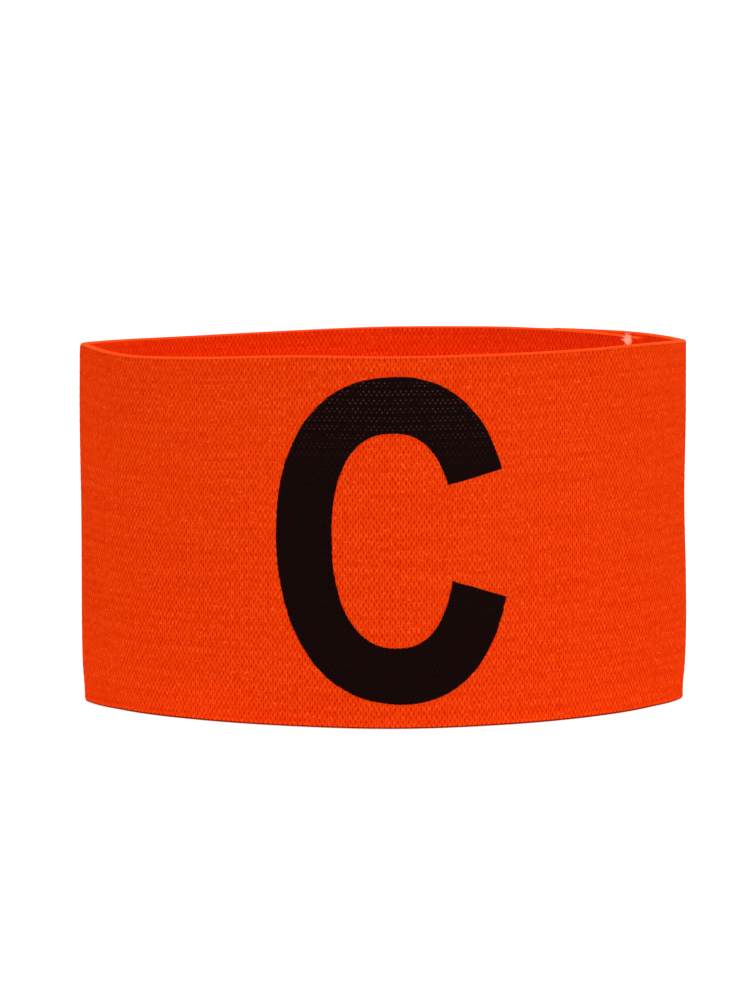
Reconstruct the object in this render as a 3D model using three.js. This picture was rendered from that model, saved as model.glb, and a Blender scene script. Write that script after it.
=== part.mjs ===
// Captain's armband: a lapped loop of woven elastic with a printed letter on its front.
//
// Frame, in millimetres: +Z up, +X along the width between the two folds, and the letter
// faces -Y. The origin is under the middle of the bounding box, on the lower rim's plane.

import * as THREE from 'three';
import { mergeVertices } from 'three/addons/utils/BufferGeometryUtils.js';

// The webbing, as it comes off the loom
const webbingWidth = 70;
const wall = 1.5;
const selvedgeRound = 0.4;
const selvedgeFacets = 2;

// The loop as it stands: two bowed panels between the folds that flat packing leaves
const loopWidth = 119;
const frontBow = 42.5;
const backBow = 47.5;
const foldRadius = 3.5;

// The sewn lap on the right of the back panel, measured along it from the right fold
const lapInnerEnd = 15.5;
const lapLength = 27;
const plyGap = 0.3;
const lapEaseLength = 18;
const lapSkew = 0.8;

// Longest facet along the panels, and the facets round each fold
const panelFacet = 2.4;
const foldFacets = 5;

// The printed letter, a plain C, between its margins to the two rims
const letterWidth = 44.8;
const letterMarginLow = 4.8;
const letterMarginHigh = 3.4;
const letterShift = 0.55;
const letterLean = -0.019;
const strokeSide = 11.0;
const strokeTop = 10.6;
const letterFilm = 0.3;
const letterGap = 0.3;
const strokeFacets = 84;
const strokeFacetsAcross = 4;

// The two edges of the letter's stroke are squared ellipses. Squareness 2 is a true
// ellipse. The middle is where an edge's top and bottom stand, right of the letter's own
// middle, and the bulge is how far it reaches to the left of that, both as shares of the
// edge's width. The cuts are the heights where the stroke ends, over and under the
// letter's middle, as shares of that edge's half height. The lean is sideways, for each
// millimetre up.
const outerForm = {
  middle: 0.017, bulge: 0.523, squareness: 2.2, upperCut: 0.434, lowerCut: 0.379,
};
const innerForm = {
  middle: 0.000, bulge: 0.516, squareness: 2.3, upperCut: 0.504, lowerCut: 0.399,
};

// How far the upper rim stands over the webbing's nominal width at the folds, as a share
// of that width
const leftFoldRise = 0.003;
const rightFoldRise = 0.009;

// Soft dents of the two panels. Each row stands at a share of its panel's length: the
// front runs from the left fold to the right one, and the back from the right to the left.
// out: push away from the loop's middle, as a share of the loop's width.
// rise: how far the upper rim stands over the webbing's width, as a share of that width.
const frontDents = [
  { at: 0.000, out: 0.000, rise: leftFoldRise },
  { at: 0.125, out: 0.001, rise: -0.014 },
  { at: 0.250, out: -0.006, rise: -0.008 },
  { at: 0.375, out: -0.004, rise: 0.004 },
  { at: 0.500, out: 0.008, rise: 0.005 },
  { at: 0.625, out: 0.001, rise: 0.007 },
  { at: 0.750, out: -0.003, rise: 0.010 },
  { at: 0.875, out: 0.000, rise: 0.014 },
  { at: 1.000, out: 0.000, rise: rightFoldRise },
];
const backDents = [
  { at: 0.000, out: 0.000, rise: rightFoldRise },
  { at: 0.125, out: 0.001, rise: 0.013 },
  { at: 0.250, out: 0.000, rise: 0.011 },
  { at: 0.375, out: 0.000, rise: 0.009 },
  { at: 0.500, out: 0.000, rise: 0.005 },
  { at: 0.625, out: 0.000, rise: -0.004 },
  { at: 0.750, out: 0.000, rise: -0.009 },
  { at: 0.875, out: 0.000, rise: -0.005 },
  { at: 1.000, out: 0.000, rise: leftFoldRise },
];

const fabricOrange = new THREE.MeshStandardMaterial({
  name: 'woven_elastic', color: 0xf04410, roughness: 0.85, metalness: 0,
});
const printBlack = new THREE.MeshStandardMaterial({
  name: 'letter_print', color: 0x140a08, roughness: 0.7, metalness: 0,
});

// One column of a table as a smooth curve through its rows
function smoothColumn(rows, column) {
  const places = rows.map((row) => row.at);
  const values = rows.map((row) => row[column]);
  const curve = new THREE.CubicInterpolant(places, values, 1);
  return (share) => curve.evaluate(share)[0];
}

// Half the distance between the middles of the two folds
const foldReach = (loopWidth - wall) / 2 - foldRadius;

// A bowed panel is an arc that meets the round of both folds with one tangent
function bowedPanel(bow, dents) {
  const radius = (foldReach ** 2 + bow ** 2 - foldRadius ** 2) / (2 * (bow - foldRadius));
  const halfAngle = Math.atan2(foldReach, radius - bow);
  const out = smoothColumn(dents, 'out');
  const rise = smoothColumn(dents, 'rise');
  return { bow, radius, halfAngle, out, rise, length: 2 * radius * halfAngle };
}

const front = bowedPanel(frontBow, frontDents);
const back = bowedPanel(backBow, backDents);
const foldTurn = Math.PI - front.halfAngle - back.halfAngle;
const foldLength = foldRadius * foldTurn;

// A point of a panel, at a length along it and a distance outward from the wall's middle,
// with the rim's rise there. facing is -1 on the front panel and +1 on the back one.
function onPanel(panel, facing, along, outward) {
  const share = THREE.MathUtils.clamp(along / panel.length, 0, 1);
  const angle = -panel.halfAngle + along / panel.radius;
  const normal = new THREE.Vector2(-facing * Math.sin(angle), facing * Math.cos(angle));
  const push = panel.out(share) * loopWidth;
  const middle = new THREE.Vector2(0, facing * (panel.bow - panel.radius));
  const point = middle.addScaledVector(normal, panel.radius + push + outward);
  return { point, rise: panel.rise(share) * webbingWidth };
}

// The same for the round of a fold; side is +1 on the right and -1 on the left
function onFold(side, along, outward) {
  const startHeading = side > 0 ? front.halfAngle : back.halfAngle;
  const heading = startHeading + along / foldRadius;
  const normal = new THREE.Vector2(side * Math.sin(heading), -side * Math.cos(heading));
  const centre = new THREE.Vector2(side * foldReach, 0);
  const rise = (side > 0 ? rightFoldRise : leftFoldRise) * webbingWidth;
  return { point: centre.addScaledVector(normal, foldRadius + outward), rise };
}

// The loop from the right fold's end: back panel, left fold, front panel, right fold
const foldFacet = foldLength / foldFacets;
const stretches = [
  {
    length: back.length,
    facet: panelFacet,
    at: (along, outward) => onPanel(back, 1, along, outward),
  },
  {
    length: foldLength,
    facet: foldFacet,
    at: (along, outward) => onFold(-1, along, outward),
  },
  {
    length: front.length,
    facet: panelFacet,
    at: (along, outward) => onPanel(front, -1, along, outward),
  },
  {
    length: foldLength,
    facet: foldFacet,
    at: (along, outward) => onFold(1, along, outward),
  },
];
const loopLength = stretches.reduce((sum, stretch) => sum + stretch.length, 0);

// A point of the loop, at a distance round it from the right fold's end
function onLoop(distance, outward) {
  let along = distance;
  for (const stretch of stretches) {
    if (along <= stretch.length) return stretch.at(along, outward);
    along -= stretch.length;
  }
  return stretches[0].at(along, outward);
}

// Distances round the loop at which the faceted strip has a section
function stationDistances(start, end) {
  const distances = [];
  let from = start;
  let stretchEnd = 0;
  for (const stretch of [...stretches, stretches[0]]) {
    stretchEnd += stretch.length;
    const to = Math.min(stretchEnd, end);
    const count = Math.ceil((to - from) / stretch.facet - 1e-6);
    for (let k = 0; k < count; k += 1) distances.push(from + ((to - from) * k) / count);
    from = to;
  }
  return [...distances, end];
}

// How far the inner ply is tucked in under the outer one, eased out past the lap
function plyInset(distance) {
  const lapOuterEnd = lapInnerEnd + lapLength;
  const eased = THREE.MathUtils.smoothstep(distance, lapOuterEnd, lapOuterEnd + lapEaseLength);
  return (wall + plyGap) * (1 - eased);
}

// How far the inner ply's upper rim falls below the outer one's, most at its cut end,
// because the lap is sewn a little askew
function plyDrop(distance) {
  return lapSkew * (1 - THREE.MathUtils.clamp((distance - lapInnerEnd) / lapLength, 0, 1));
}

// One side of the webbing's section, from the lower rim to the upper one, as a distance
// from the wall's middle and a height
function sectionSide(height) {
  const flat = wall / 2 - selvedgeRound;
  const lower = [];
  const upper = [];
  for (let k = 0; k <= selvedgeFacets; k += 1) {
    const angle = (Math.PI / 2) * (k / selvedgeFacets);
    const outward = flat + selvedgeRound * Math.sin(angle);
    const drop = selvedgeRound * (1 - Math.cos(angle));
    lower.push({ outward, up: drop });
    upper.unshift({ outward, up: height - drop });
  }
  return [...lower, ...upper];
}

// A closed body lofted through rings of points; point i of a ring faces point n-1-i
// across the wall, so the two ends are closed by strips between them
function loftedBody(rings) {
  const count = rings[0].length;
  const positions = rings.flat().flatMap((point) => [point.x, point.y, point.z]);
  const index = [];
  const quad = (a, b, c, d) => index.push(a, b, c, a, c, d);
  for (let r = 0; r + 1 < rings.length; r += 1) {
    for (let i = 0; i < count; i += 1) {
      const next = (i + 1) % count;
      const [low, high] = [r * count, (r + 1) * count];
      quad(low + i, high + i, high + next, low + next);
    }
  }
  const last = (rings.length - 1) * count;
  for (let i = 0; i + 1 < count / 2; i += 1) {
    const [j, k] = [count - 1 - i, count - 2 - i];
    quad(i, i + 1, k, j);
    quad(last + i, last + j, last + k, last + i + 1);
  }
  const geometry = new THREE.BufferGeometry();
  geometry.setAttribute('position', new THREE.Float32BufferAttribute(positions, 3));
  geometry.setIndex(index);
  const merged = mergeVertices(geometry);
  merged.computeVertexNormals();
  return merged;
}

// The webbing: a ring of section points at each station, from the inner ply's cut end
// round the whole loop to the outer ply's cut end
function webbingBand() {
  const end = loopLength + lapInnerEnd + lapLength;
  const rings = stationDistances(lapInnerEnd, end).map((distance) => {
    const tucked = plyInset(distance);
    const { rise } = onLoop(distance, 0);
    const side = sectionSide(webbingWidth + rise - plyDrop(distance));
    const across = [
      ...side.map(({ outward, up }) => ({ offset: outward, up })),
      ...side.map(({ outward, up }) => ({ offset: -outward, up })).reverse(),
    ];
    return across.map(({ offset, up }) => {
      const { point } = onLoop(distance, offset - tucked);
      return new THREE.Vector3(point.x, point.y, up);
    });
  });
  return new THREE.Mesh(loftedBody(rings), fabricOrange);
}

// The two edges of the letter's stroke: their width, half their height and their form
const letterHeight = webbingWidth - letterMarginLow - letterMarginHigh;
const outerEdge = {
  width: letterWidth,
  halfHeight: letterHeight / 2,
  ...outerForm,
};
const innerEdge = {
  width: letterWidth - 2 * strokeSide,
  halfHeight: outerEdge.halfHeight - strokeTop,
  ...innerForm,
};

// The point of an edge at a share of the way round the stroke, from the upper cut over
// the left side to the lower one, counted from the letter's middle
function letterEdge(edge, share) {
  const power = 2 / edge.squareness;
  const upper = Math.asin(edge.upperCut ** (1 / power));
  const lower = 2 * Math.PI - Math.asin(edge.lowerCut ** (1 / power));
  const angle = THREE.MathUtils.lerp(upper, lower, share);
  const [c, s] = [Math.cos(angle), Math.sin(angle)];
  const reach = c < 0 ? edge.bulge : 1 - edge.bulge;
  const aside = edge.width * (edge.middle + reach * Math.sign(c) * Math.abs(c) ** power);
  const up = edge.halfHeight * Math.sign(s) * Math.abs(s) ** power;
  return new THREE.Vector2(aside + letterLean * up, up);
}

// The printed film, laid on the front panel's outer face
function captainLetter() {
  const seat = wall / 2 + letterGap;
  const middleAlong = front.length / 2 + letterShift;
  const middleUp = letterMarginLow + letterHeight / 2;
  const onFront = (flat, outward) => {
    const { point } = onPanel(front, -1, middleAlong + flat.x, outward);
    return new THREE.Vector3(point.x, point.y, middleUp + flat.y);
  };
  const rings = [];
  for (let k = 0; k <= strokeFacets; k += 1) {
    const outer = letterEdge(outerEdge, k / strokeFacets);
    const inner = letterEdge(innerEdge, k / strokeFacets);
    const across = [];
    for (let i = 0; i <= strokeFacetsAcross; i += 1) {
      across.push(new THREE.Vector2().lerpVectors(outer, inner, i / strokeFacetsAcross));
    }
    rings.push([
      ...across.map((flat) => onFront(flat, seat + letterFilm)),
      ...across.map((flat) => onFront(flat, seat)).reverse(),
    ]);
  }
  return new THREE.Mesh(loftedBody(rings), printBlack);
}

// The armband, moved so that its box stands centred over the origin
const armband = new THREE.Group();
const pieces = { webbing_band: webbingBand(), captain_letter: captainLetter() };
for (const [name, mesh] of Object.entries(pieces)) {
  mesh.name = name;
  armband.add(mesh);
}
const box = new THREE.Box3().setFromObject(armband);
const centre = box.getCenter(new THREE.Vector3());
armband.position.set(-centre.x, -centre.y, -box.min.z);

export default armband;
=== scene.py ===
"""A captain's armband: a lapped loop of woven elastic with a plain letter printed on it.

The band stands on its lower rim on a pale floor. Everything is in metres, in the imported
model's own frame: +Z up, +X from the left fold to the right one, the letter facing -Y.
"""

import logging
import math
from dataclasses import dataclass, field
from enum import Enum
from typing import Any, Optional, Sequence, Union

import bpy
import numpy as np
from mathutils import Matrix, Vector


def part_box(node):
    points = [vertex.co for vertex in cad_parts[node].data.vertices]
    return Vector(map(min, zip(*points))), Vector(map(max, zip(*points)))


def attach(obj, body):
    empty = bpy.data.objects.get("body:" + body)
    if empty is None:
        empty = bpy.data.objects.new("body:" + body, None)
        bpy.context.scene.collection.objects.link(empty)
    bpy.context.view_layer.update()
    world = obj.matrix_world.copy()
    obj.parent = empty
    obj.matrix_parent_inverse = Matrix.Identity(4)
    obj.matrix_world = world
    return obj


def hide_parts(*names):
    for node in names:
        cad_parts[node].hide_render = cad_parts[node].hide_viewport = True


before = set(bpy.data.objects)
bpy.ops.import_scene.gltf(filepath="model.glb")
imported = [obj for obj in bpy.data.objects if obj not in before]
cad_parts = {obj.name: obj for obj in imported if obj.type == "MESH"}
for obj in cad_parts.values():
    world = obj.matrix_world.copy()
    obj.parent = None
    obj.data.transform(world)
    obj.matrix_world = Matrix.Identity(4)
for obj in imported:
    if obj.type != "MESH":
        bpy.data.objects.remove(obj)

LOG = logging.getLogger("armband")
MM = 0.001
TURN = 2 * math.pi
Rgb = tuple[float, float, float]
Number = Union[float, "Signal"]


def srgb(red: int, green: int, blue: int) -> Rgb:
    """Turns an 8-bit display colour into the linear one that shaders take.

    Args:
        red: The red channel, 0 to 255.
        green: The green channel, 0 to 255.
        blue: The blue channel, 0 to 255.

    Returns:
        The linear colour.
    """
    def linear(channel: int) -> float:
        """One channel's linear value."""
        share = channel / 255
        return share / 12.92 if share <= 0.04045 else ((share + 0.055) / 1.055) ** 2.4

    return linear(red), linear(green), linear(blue)


# The plan of the loop

@dataclass(frozen=True)
class Dent:
    """One row of a panel's table of soft dents.

    Attributes:
        at: Where it stands, as a share of the panel's length.
        out: The push away from the loop's middle, as a share of the loop's width.
        rise: How far the upper rim stands over the webbing's width, as a share of it.
    """

    at: float
    out: float
    rise: float


def even_dents(*rows: tuple[float, float]) -> tuple[Dent, ...]:
    """Spreads dents, each one's out and rise, evenly along a panel."""
    return tuple(Dent(k / (len(rows) - 1), *row) for k, row in enumerate(rows))


LEFT_FOLD_RISE = 0.003
RIGHT_FOLD_RISE = 0.009

# The front panel runs from the left fold to the right one
FRONT_DENTS = even_dents(
    (0.000, LEFT_FOLD_RISE), (0.001, -0.014), (-0.006, -0.008), (-0.004, 0.004),
    (0.008, 0.005), (0.001, 0.007), (-0.003, 0.010), (0.000, 0.014),
    (0.000, RIGHT_FOLD_RISE),
)

# The back panel runs from the right fold to the left one
BACK_DENTS = even_dents(
    (0.000, RIGHT_FOLD_RISE), (0.001, 0.013), (0.000, 0.011), (0.000, 0.009),
    (0.000, 0.005), (0.000, -0.004), (0.000, -0.009), (0.000, -0.005),
    (0.000, LEFT_FOLD_RISE),
)


@dataclass(frozen=True)
class Sway:
    """One row of the table of how the two folds lean out and in with height.

    Attributes:
        at: The height, as a share of the webbing's width.
        left: The left fold's push outward, as a share of the loop's width.
        right: The right fold's push outward, as a share of it.
        forth: The push of both towards the front, as a share of it.
    """

    at: float
    left: float
    right: float
    forth: float


# From the lower rim up: the folds' feet stand in and forward of their tops
FOLD_SWAY = (
    Sway(0.00, -0.0058, -0.0046, 0.029),
    Sway(0.04, -0.0050, -0.0042, 0.027),
    Sway(0.09, -0.0026, -0.0012, 0.023),
    Sway(0.20, -0.0010, 0.0013, 0.017),
    Sway(0.35, -0.0010, 0.0010, 0.010),
    Sway(0.55, -0.0008, -0.0014, 0.004),
    Sway(0.80, 0.0009, 0.0006, 0.000),
    Sway(1.00, 0.0000, 0.0003, 0.000),
)


def eased(way: np.ndarray) -> np.ndarray:
    """Eases a way from 0 to 1 in and out."""
    return way * way * (3 - 2 * way)


def smooth_column(
    rows: Sequence[Union[Dent, Sway]], column: str, shares: np.ndarray
) -> np.ndarray:
    """Reads one column of a table as a smooth curve through its rows.

    Args:
        rows: The table, in order of its shares.
        column: The column's name.
        shares: The places to read it at, from 0 to 1.

    Returns:
        The column's value at each share.
    """
    places = np.array([row.at for row in rows])
    values = np.array([getattr(row, column) for row in rows])
    slopes = np.gradient(values, places)
    row = np.clip(np.searchsorted(places, shares, side="right") - 1, 0, len(rows) - 2)
    gap = places[row + 1] - places[row]
    t = (shares - places[row]) / gap
    left = (1 - t) ** 2
    from_here = (1 + 2 * t) * left * values[row] + t * left * gap * slopes[row]
    to_next = t**2 * (3 - 2 * t) * values[row + 1] - t**2 * (1 - t) * gap * slopes[row + 1]
    return from_here + to_next


@dataclass
class LoopPlan:
    """The line that the middle of the wall follows, seen from above.

    It runs from the right fold's end along the back to the left fold, and on along the
    front to the right fold again.
    """

    width: float = 119.0 * MM
    front_bow: float = 42.5 * MM
    back_bow: float = 47.5 * MM
    fold_radius: float = 3.5 * MM
    wall: float = 1.5 * MM
    webbing_width: float = 70.0 * MM
    sample: float = 0.2 * MM
    least_fold_samples: int = 8
    length: float = field(init=False)

    def __post_init__(self) -> None:
        """Samples the line finely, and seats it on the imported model's own box."""
        self.reach = (self.width - self.wall) / 2 - self.fold_radius
        back = self._panel(self.back_bow, BACK_DENTS, 1)
        front = self._panel(self.front_bow, FRONT_DENTS, -1)
        left = self._fold(-1, back[-1], front[0], LEFT_FOLD_RISE)
        right = self._fold(1, front[-1], back[0], RIGHT_FOLD_RISE)
        line = np.concatenate([back[:-1], left[:-1], front[:-1], right])
        steps = np.hypot(*np.diff(line[:, :2], axis=0).T)
        self._distance = np.concatenate([[0.0], np.cumsum(steps)])
        self.length = float(self._distance[-1])
        front_start = len(back) - 1 + len(left) - 1
        self._front_distance = self._distance[front_start:front_start + len(front)]
        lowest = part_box("webbing_band")[0]
        line[:, 1] += lowest[1] - (line[:, 1].min() - self.wall / 2)
        self._line = line
        along = np.gradient(np.vstack([line[-2:-1], line, line[1:2]])[:, :2], axis=0)[1:-1]
        along /= np.linalg.norm(along, axis=1)[:, None]
        self._normal = np.column_stack([along[:, 1], -along[:, 0]])

    def _arc(self, bow: float) -> tuple[float, float]:
        """Gives the radius and the half angle of a panel's arc before its dents."""
        radius = (self.reach**2 + bow**2 - self.fold_radius**2) / (2 * (bow - self.fold_radius))
        return radius, math.atan2(self.reach, radius - bow)

    def _panel(self, bow: float, dents: Sequence[Dent], facing: int) -> np.ndarray:
        """Samples a bowed panel: an arc that meets both folds with one tangent.

        Args:
            bow: How far its middle stands off the line between the folds.
            dents: Its table of soft dents.
            facing: -1 for the front and 1 for the back.

        Returns:
            Rows of x, y, the rim's rise and the heading of the outward normal.
        """
        radius, half_angle = self._arc(bow)
        count = int(2 * radius * half_angle / self.sample) // 2 * 2 + 1
        shares = np.linspace(0, 1, count)
        angle = half_angle * (2 * shares - 1)
        off = radius + smooth_column(dents, "out", shares) * self.width
        x = -facing * np.sin(angle) * off
        y = facing * (bow - radius + np.cos(angle) * off)
        rise = smooth_column(dents, "rise", shares) * self.webbing_width
        heading = np.arctan2(facing * np.cos(angle), -facing * np.sin(angle))
        return np.column_stack([x, y, rise, heading])

    def _fold(self, side: int, start: np.ndarray, end: np.ndarray, rise: float) -> np.ndarray:
        """Samples the round of a fold between two panels.

        Args:
            side: -1 for the left fold and 1 for the right one.
            start: The last row of the panel before it.
            end: The first row of the panel after it.
            rise: The rim's rise there, as a share of the webbing's width.

        Returns:
            Rows as a panel's.
        """
        turn = (end[3] - start[3]) % TURN
        count = max(self.least_fold_samples, int(turn * self.fold_radius / self.sample))
        heading = start[3] + np.linspace(0, turn, count)
        x = side * self.reach + self.fold_radius * np.cos(heading)
        y = self.fold_radius * np.sin(heading)
        level = np.full(count, rise * self.webbing_width)
        return np.column_stack([x, y, level, heading])

    def on_front(self, along: np.ndarray) -> np.ndarray:
        """Turns lengths right of the front arc's middle into distances round the loop."""
        radius, half_angle = self._arc(self.front_bow)
        share = along / (2 * radius * half_angle) + 0.5
        return np.interp(share, np.linspace(0, 1, len(self._front_distance)), self._front_distance)

    def _read(self, table: np.ndarray, distance: np.ndarray) -> np.ndarray:
        """Reads a sampled quantity at distances round the loop."""
        return np.interp(distance % self.length, self._distance, table)

    def point(self, distance: np.ndarray, outward: np.ndarray) -> np.ndarray:
        """Finds points off the wall's middle line.

        Args:
            distance: How far round the loop, from the right fold's end.
            outward: How far off the line, away from the loop's middle.

        Returns:
            The points, with x and y in the last axis.
        """
        x = self._read(self._line[:, 0], distance)
        y = self._read(self._line[:, 1], distance)
        normal = self.normal(distance)
        return np.stack([x, y], axis=-1) + normal * np.asarray(outward)[..., None]

    def normal(self, distance: np.ndarray) -> np.ndarray:
        """Gives the outward normals at distances round the loop."""
        x = self._read(self._normal[:, 0], distance)
        y = self._read(self._normal[:, 1], distance)
        size = np.hypot(x, y)
        return np.stack([x / size, y / size], axis=-1)

    def height(self, distance: np.ndarray) -> np.ndarray:
        """Gives the height of the upper rim at distances round the loop."""
        return self.webbing_width + self._read(self._line[:, 2], distance)


# Meshes

def new_object(name: str, data: Any) -> bpy.types.Object:
    """Makes an object of some data, at the origin, and links it to the scene."""
    made = bpy.data.objects.new(name, data)
    bpy.context.scene.collection.objects.link(made)
    return made


def mesh_object(name: str, points: np.ndarray, faces: Sequence[Sequence[int]]) -> bpy.types.Object:
    """Makes a smooth-shaded mesh object at the origin.

    Args:
        name: The piece's name.
        points: Its vertices, one row each.
        faces: Its faces, as vertex numbers.

    Returns:
        The new object, linked to the scene.
    """
    mesh = bpy.data.meshes.new(name)
    mesh.from_pydata([tuple(p) for p in points], [], [tuple(f) for f in faces])
    mesh.update()
    mesh.polygons.foreach_set("use_smooth", [True] * len(mesh.polygons))
    return new_object(name, mesh)


def write_uv(piece: bpy.types.Object, per_vertex: np.ndarray) -> None:
    """Gives a mesh a UV map from one coordinate pair for each vertex."""
    layer = piece.data.uv_layers.new(name="weave")
    corners = np.empty(len(piece.data.loops), dtype=np.int64)
    piece.data.loops.foreach_get("vertex_index", corners)
    layer.data.foreach_set("uv", per_vertex[corners].astype(np.float32).ravel())


def rolling_noise(shape: tuple[int, int], cells: tuple[int, int], seed: int) -> np.ndarray:
    """Makes a smooth random field between -1 and 1.

    Args:
        shape: The field's rows and columns.
        cells: How many random cells it has along each axis.
        seed: The fixed seed.

    Returns:
        The field.
    """
    coarse = np.random.default_rng(seed).uniform(-1, 1, (cells[0] + 1, cells[1] + 1))

    def spread(count: int, steps: int) -> tuple[np.ndarray, np.ndarray]:
        """Cell numbers and eased ways through them, for one axis."""
        place = np.linspace(0, steps, count)
        cell = np.minimum(place.astype(int), steps - 1)
        return cell, eased(place - cell)

    (row, down), (column, across) = spread(shape[0], cells[0]), spread(shape[1], cells[1])
    row, down = row[:, None], down[:, None]
    upper = coarse[row, column] * (1 - across) + coarse[row, column + 1] * across
    lower = coarse[row + 1, column] * (1 - across) + coarse[row + 1, column + 1] * across
    return upper * (1 - down) + lower * down


# Node trees, and the benches that build shaders with them

class Signal:
    """A number carried by a shader socket, on which plain maths adds Math nodes."""

    def __init__(self, bench: "Bench", socket: bpy.types.NodeSocket) -> None:
        """Wraps a socket of a bench's tree."""
        self.bench = bench
        self.socket = socket

    def _math(self, operation: str, *values: Number) -> "Signal":
        """Adds one Math node.

        Args:
            operation: The node's operation.
            values: Its inputs, in order.

        Returns:
            The result.
        """
        node = self.bench.node("ShaderNodeMath", {"operation": operation}, dict(enumerate(values)))
        return Signal(self.bench, node.outputs[0])

    def __add__(self, other: Number) -> "Signal":
        """Adds."""
        return self._math("ADD", self, other)

    def __sub__(self, other: Number) -> "Signal":
        """Subtracts."""
        return self._math("SUBTRACT", self, other)

    def __rsub__(self, other: Number) -> "Signal":
        """Subtracts from a number on the left."""
        return self._math("SUBTRACT", other, self)

    def __mul__(self, other: Number) -> "Signal":
        """Multiplies."""
        return self._math("MULTIPLY", self, other)

    def __neg__(self) -> "Signal":
        """Turns the sign round."""
        return self._math("MULTIPLY", self, -1.0)

    def cosine(self) -> "Signal":
        """The cosine of a signal in radians."""
        return self._math("COSINE", self)

    def at_least(self, other: Number) -> "Signal":
        """The larger of this and another number."""
        return self._math("MAXIMUM", self, other)

    def step_between(self, low: float, high: float) -> "Signal":
        """Goes smoothly from 0 at low to 1 at high."""
        node = self.bench.node(
            "ShaderNodeMapRange",
            {"interpolation_type": "SMOOTHSTEP"},
            {"Value": self, "From Min": low, "From Max": high},
        )
        return Signal(self.bench, node.outputs["Result"])


class NodeTree:
    """A node tree that is filled node by node."""

    def __init__(self, tree: bpy.types.NodeTree) -> None:
        """Takes the tree to fill."""
        self.tree = tree

    def node(
        self,
        kind: str,
        settings: Optional[dict[str, Any]] = None,
        inputs: Optional[dict[Union[str, int], Any]] = None,
    ) -> bpy.types.Node:
        """Adds a node of any kind.

        Args:
            kind: The node's type.
            settings: Its own properties, which are set first.
            inputs: Values or links for its sockets, by name or number.

        Returns:
            The node.
        """
        made = self.tree.nodes.new(kind)
        for name, value in (settings or {}).items():
            setattr(made, name, value)
        for key, value in (inputs or {}).items():
            socket = made.inputs[key]
            if isinstance(value, Signal):
                value = value.socket
            if isinstance(value, bpy.types.NodeSocket):
                self.tree.links.new(value, socket)
            elif socket.type == "RGBA":
                socket.default_value = (*value, 1.0)
            else:
                socket.default_value = value
        return made


class Bench(NodeTree):
    """Builds one material's node tree."""

    def __init__(self, name: str) -> None:
        """Starts a material with an empty tree."""
        self.material = bpy.data.materials.new(name)
        self.material.use_nodes = True
        super().__init__(self.material.node_tree)
        self.tree.nodes.clear()

    def mix(self, share: Number, first: Any, second: Any) -> bpy.types.NodeSocket:
        """Mixes two colours.

        Args:
            share: How much of the second one there is.
            first: A colour or a colour socket.
            second: A colour or a colour socket.

        Returns:
            The mixed colour's socket.
        """
        node = self.node("ShaderNodeMix", {"data_type": "RGBA"}, {0: share, 6: first, 7: second})
        return node.outputs[2]

    def noise(self, vector: bpy.types.NodeSocket, scale: float, detail: float) -> Signal:
        """A noise texture's value, 0 to 1, on a vector."""
        node = self.node(
            "ShaderNodeTexNoise", None, {"Vector": vector, "Scale": scale, "Detail": detail}
        )
        return Signal(self, node.outputs["Fac"])

    def weave(self) -> tuple[bpy.types.NodeSocket, Signal, Signal]:
        """Gives the weave's own map, and its warp columns and pick pairs as signals."""
        place = self.node("ShaderNodeUVMap", {"uv_map": "weave"}).outputs["UV"]
        split = self.node("ShaderNodeSeparateXYZ", None, {"Vector": place})
        return place, Signal(self, split.outputs["X"]), Signal(self, split.outputs["Y"])

    def mottle(
        self, place: bpy.types.NodeSocket, across: float, up: float, detail: float
    ) -> Signal:
        """Makes noise on the weave's map.

        Args:
            place: The map.
            across: How many cells of noise there are to a column.
            up: How many there are to a pair of picks.
            detail: The noise's detail.

        Returns:
            The noise, 0 to 1.
        """
        scale = (across, up, 1.0)
        cells = self.node("ShaderNodeMapping", None, {"Vector": place, "Scale": scale})
        return self.noise(cells.outputs[0], 1.0, detail)

    def relief(self, height: Signal, strength: float, depth: float) -> bpy.types.NodeSocket:
        """A normal that a height signal bumps."""
        inputs = {"Strength": strength, "Distance": depth, "Height": height}
        return self.node("ShaderNodeBump", None, inputs).outputs["Normal"]

    def dress(
        self, colour: Any, roughness: float, glow: float, more: dict[str, Any]
    ) -> bpy.types.Material:
        """Ends the tree in a matte shader that may glow a little in its own colour.

        Args:
            colour: The colour, or its socket.
            roughness: The roughness.
            glow: How strongly it glows.
            more: What else the shader gets, by socket.

        Returns:
            The material.
        """
        inputs = {"Base Color": colour, "Roughness": roughness, "Specular IOR Level": 0.0}
        if glow > 0:
            inputs |= {"Emission Color": colour, "Emission Strength": glow}
        shader = self.node("ShaderNodeBsdfPrincipled", None, inputs | more)
        self.node("ShaderNodeOutputMaterial", None, {"Surface": shader.outputs[0]})
        return self.material


# Finishes

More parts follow.
